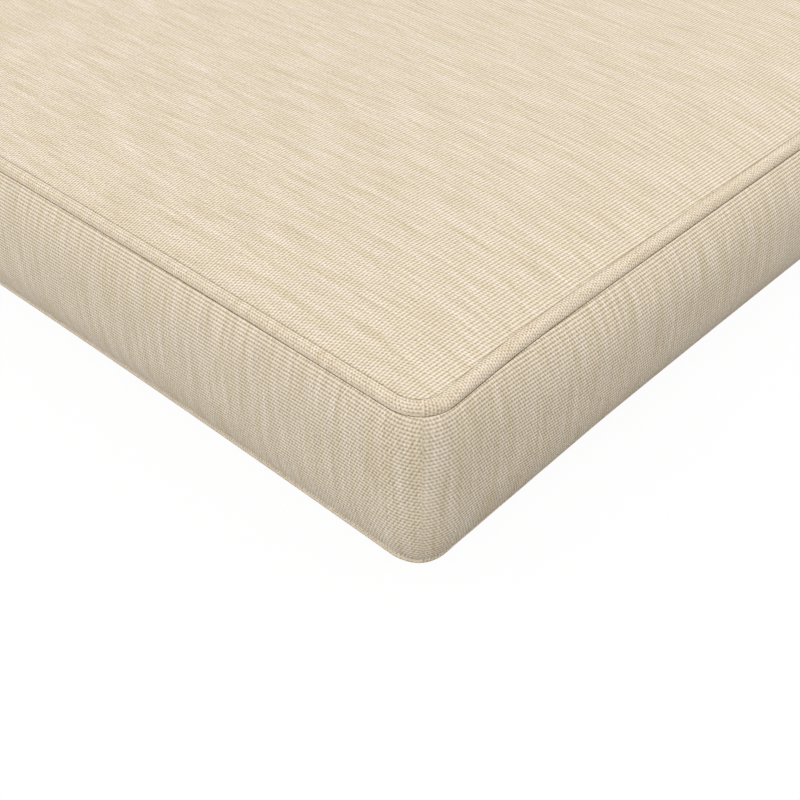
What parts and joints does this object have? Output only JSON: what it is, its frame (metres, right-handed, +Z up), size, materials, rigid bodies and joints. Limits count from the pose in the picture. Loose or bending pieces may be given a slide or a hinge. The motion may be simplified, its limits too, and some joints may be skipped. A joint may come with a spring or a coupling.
{
  "type": "boxed chaise lounge cushion",
  "caption": "Long rectangular boxed cushion with a crowned top, bulging sides and piping round both edges, lying flat to pad a sun lounger.",
  "frame": {"origin": "on the rest plane, under the middle of the cushion", "axes": "+Z up, out of the crowned face; Y along the cushion's length; X across its width"},
  "size_m": [0.6188, 1.9384, 0.0915],
  "materials": {
    "cushion_cloth": "cream linen-look plain-weave outdoor canvas with slubs, matt",
    "piping_cloth": "the same canvas cut as a strip and folded round a cord, matt"
  },
  "bodies": {
    "root": {"cushion": "cushion_cloth", "piping_top": "piping_cloth", "piping_bottom": "piping_cloth"}
  },
  "joints": []
}
